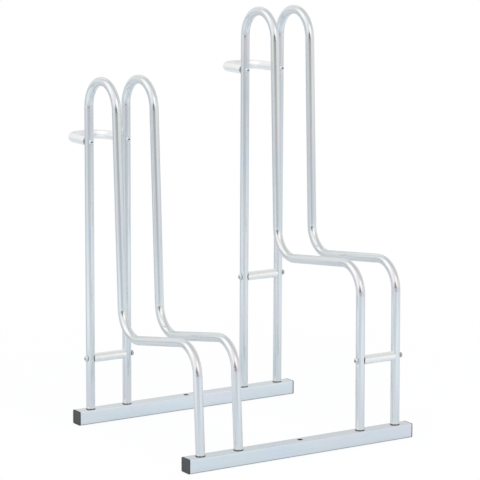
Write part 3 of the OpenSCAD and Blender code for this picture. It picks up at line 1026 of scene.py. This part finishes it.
def makeLoop(name, p, z):
    start = (legX(p, -1), rearY + tubeRadius)
    arm = rack["loopArm"] - tubeRadius
    path, depths = walk(start, math.pi / 2, [(arm, -math.pi), (arm, 0)], rack["legSpacing"] / 2, loop["step"])
    points = [(point.x, point.y, z) for point in path]
    dents = [(0, 0, 0)] * len(points)
    oval = loop["ovalShare"]
    piece = sweepTube(name, points, depths, dents, loop, (-oval, -oval, oval), 0, "zincLoop")
    fitBehindLegs(piece, p, start[1])
    return piece


for level, p in places.items():
    z = p["top"] - rack["loopDrop"]
    standFor(makeLoop(level + "LoopTube", p, z), f"{level}_rear_loop")
    heads = [(legX(p, side), rearY - tubeRadius, z) for side in (-1, 1)]
    piece = copyTo(level + "LoopDomedScrews", heads, [(0, -1, 0)] * 2, screws, "brightZinc")
    standFor(piece, f"{level}_loop_screws")
print("loops made")


# Base bars, drilled for the legs and anchors

bar = {
    "length": 540, "edge": 0.25, "edgeSteps": 2, "edgeAngle": 50,
    "rolled": 0.4, "rollMiddle": 0.3,  # the leg holes' upper edge
    "seatTop": 10.2, "seatFace": 13.2,  # countersunk from below, for the foot screws
    "seatPast": 1,  # the seat's cone goes on past both faces of the bottom wall
    "past": 8, "clear": 0.02,  # a leg hole's cutter goes on above the top face, its rolled edge only just
    "anchorPast": 5,  # an anchor bore's cutter goes on past both faces
}


# A hole's cutters, from its place on the bar's top face, with Z up along the leg
def anchorCutters():
    past = bar["anchorPast"]
    return [[circleRing(rack["anchorBore"] / 2, z) for z in (-rack["barSide"] - past, past)]]


def legCutters():
    bore, rolled, past = rack["legBore"] / 2, bar["rolled"], bar["past"]
    bottom, wall, extra = -rack["barSide"], rack["barWall"], bar["seatPast"]
    hole = [
        circleRing(bore, -past), circleRing(bore, -rolled), circleRing(bore + bar["rollMiddle"], -rolled / 2),
        circleRing(bore + rolled, bar["clear"]), circleRing(bore + rolled, past),
    ]
    seat = [
        circleRing(bar["seatFace"] / 2 + extra, bottom - extra),
        circleRing(bar["seatTop"] / 2 - extra, bottom + wall + extra),
    ]
    return [hole, seat]


def makeCutter(end):
    y = end * rearY
    holes = [(0, 0, anchorCutters())]
    for p in places.values():
        holes += [(legX(p, side), p["footLean"] if end < 0 else 0, legCutters()) for side in (-1, 1)]
    cutters = bmesh.new()
    for x, lean, stacks in holes:
        turn = Matrix.Translation((x, y, rack["barSide"])) @ Matrix.Rotation(-math.radians(lean), 4, "X")
        for stack in stacks:
            cutter = stackRings(stack)
            cutter.transform(turn)
            data = bpy.data.meshes.new("cutter")
            cutter.to_mesh(data)
            cutter.free()
            cutters.from_mesh(data)
            bpy.data.meshes.remove(data)
    return toObject("cutter", cutters)


def makeBar(name, end):
    side, wall, corner = rack["barSide"], rack["barWall"], rack["barCorner"]
    half = bar["length"] / 2
    outer, inner = (side, corner), (side - 2 * wall, corner - wall)
    mesh = stackRings([
        squareRing(*outer, -half), squareRing(*outer, half), squareRing(*inner, half), squareRing(*inner, -half),
    ], closed=True)
    toX = Matrix(((0, 0, 1, 0), (1, 0, 0, 0), (0, 1, 0, 0), (0, 0, 0, 1)))
    mesh.transform(Matrix.Translation((0, end * rearY, side / 2)) @ toX)
    piece = toObject(name, mesh)
    cutter = makeCutter(end)
    drill = piece.modifiers.new("holes", "BOOLEAN")
    drill.operation = "DIFFERENCE"
    drill.object = cutter
    drill.solver = "EXACT"
    edge = piece.modifiers.new("edges", "BEVEL")
    edge.width = bar["edge"] * mm
    edge.segments = bar["edgeSteps"]
    edge.limit_method = "ANGLE"
    edge.angle_limit = math.radians(bar["edgeAngle"])
    settle(piece, sharpAngle=50)
    bpy.data.objects.remove(cutter)
    even = piece.modifiers.new("evenNormals", "WEIGHTED_NORMAL")
    even.keep_sharp = True
    return piece


for end, word in ((1, "rear"), (-1, "front")):
    standFor(makeBar(word + "SquareBar", end), word + "_base_bar", word + "ZincBar")
print("bars made")


# Plastic end caps

cap = {
    "flange": 2.5, "edge": 0.2, "round": 0.7, "roundSteps": 6,
    "dish": ((0.8, 0), (0.72, 0.12), (0.66, 0.3), (0.6, 0.35)),  # shares of the side, and the face's depth there
    "plug": 18, "wall": 2, "plugCorner": 0.6,
    "fins": 3, "fin": 1.2, "finDepth": 1.5, "finCorner": 1.5, "finGap": 0.2, "finSlope": 0.3,
}


# Outer face up along Z, the bar's end on the X-Y plane
def makeCapTemplate(c):
    side, corner, small = rack["barSide"], rack["barCorner"], c["plugCorner"]
    hollow = side - 2 * rack["barWall"]
    core = hollow - 2 * c["finDepth"]
    bore = core - 2 * c["wall"]
    rings = [squareRing(bore, small, 0), squareRing(bore, small, -c["plug"]), squareRing(core, small, -c["plug"])]
    for i in range(c["fins"], 0, -1):
        foot = -i * c["plug"] / (c["fins"] + 1)
        rings += [
            squareRing(core, small, foot),
            squareRing(hollow - 2 * c["finGap"], c["finCorner"], foot + c["finSlope"]),
            squareRing(hollow - c["finGap"], c["finCorner"], foot + c["fin"]),
            squareRing(core, small, foot + c["fin"]),
        ]
    rings += [squareRing(core, small, 0), squareRing(side - 2 * c["edge"], corner, 0)]
    rings.append(squareRing(side, corner, c["edge"]))
    for i in range(c["roundSteps"] + 1):
        angle = math.pi / 2 * i / c["roundSteps"]
        inset, drop = c["round"] * (1 - math.cos(angle)), c["round"] * (1 - math.sin(angle))
        rings.append(squareRing(side - 2 * inset, corner - inset, c["flange"] - drop))
    for share, drop in c["dish"]:
        rings.append(squareRing(side * share, corner * share, c["flange"] - drop))
    return toObject("capTemplate", stackRings(rings), sharpAngle=40)


caps = makeCapTemplate(cap)
for end, endWord in ((1, "rear"), (-1, "front")):
    for side, word in ((-1, "left"), (1, "right")):
        spot = [(side * bar["length"] / 2, end * rearY, rack["barSide"] / 2)]
        piece = copyTo(endWord + word.capitalize() + "PlasticCap", spot, [(side, 0, 0)], caps, "blackPlastic")
        standFor(piece, f"{endWord}_{word}_cap")
print("caps made")

for template in (bolts, nuts, screws, caps):
    bpy.data.objects.remove(template)


# Nodes of the frame that stay: plugs inside the tubes and screws under the bars

for name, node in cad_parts.items():
    if not node.hide_render:
        for slot in node.material_slots:
            slot.material = materials["brightZinc"]
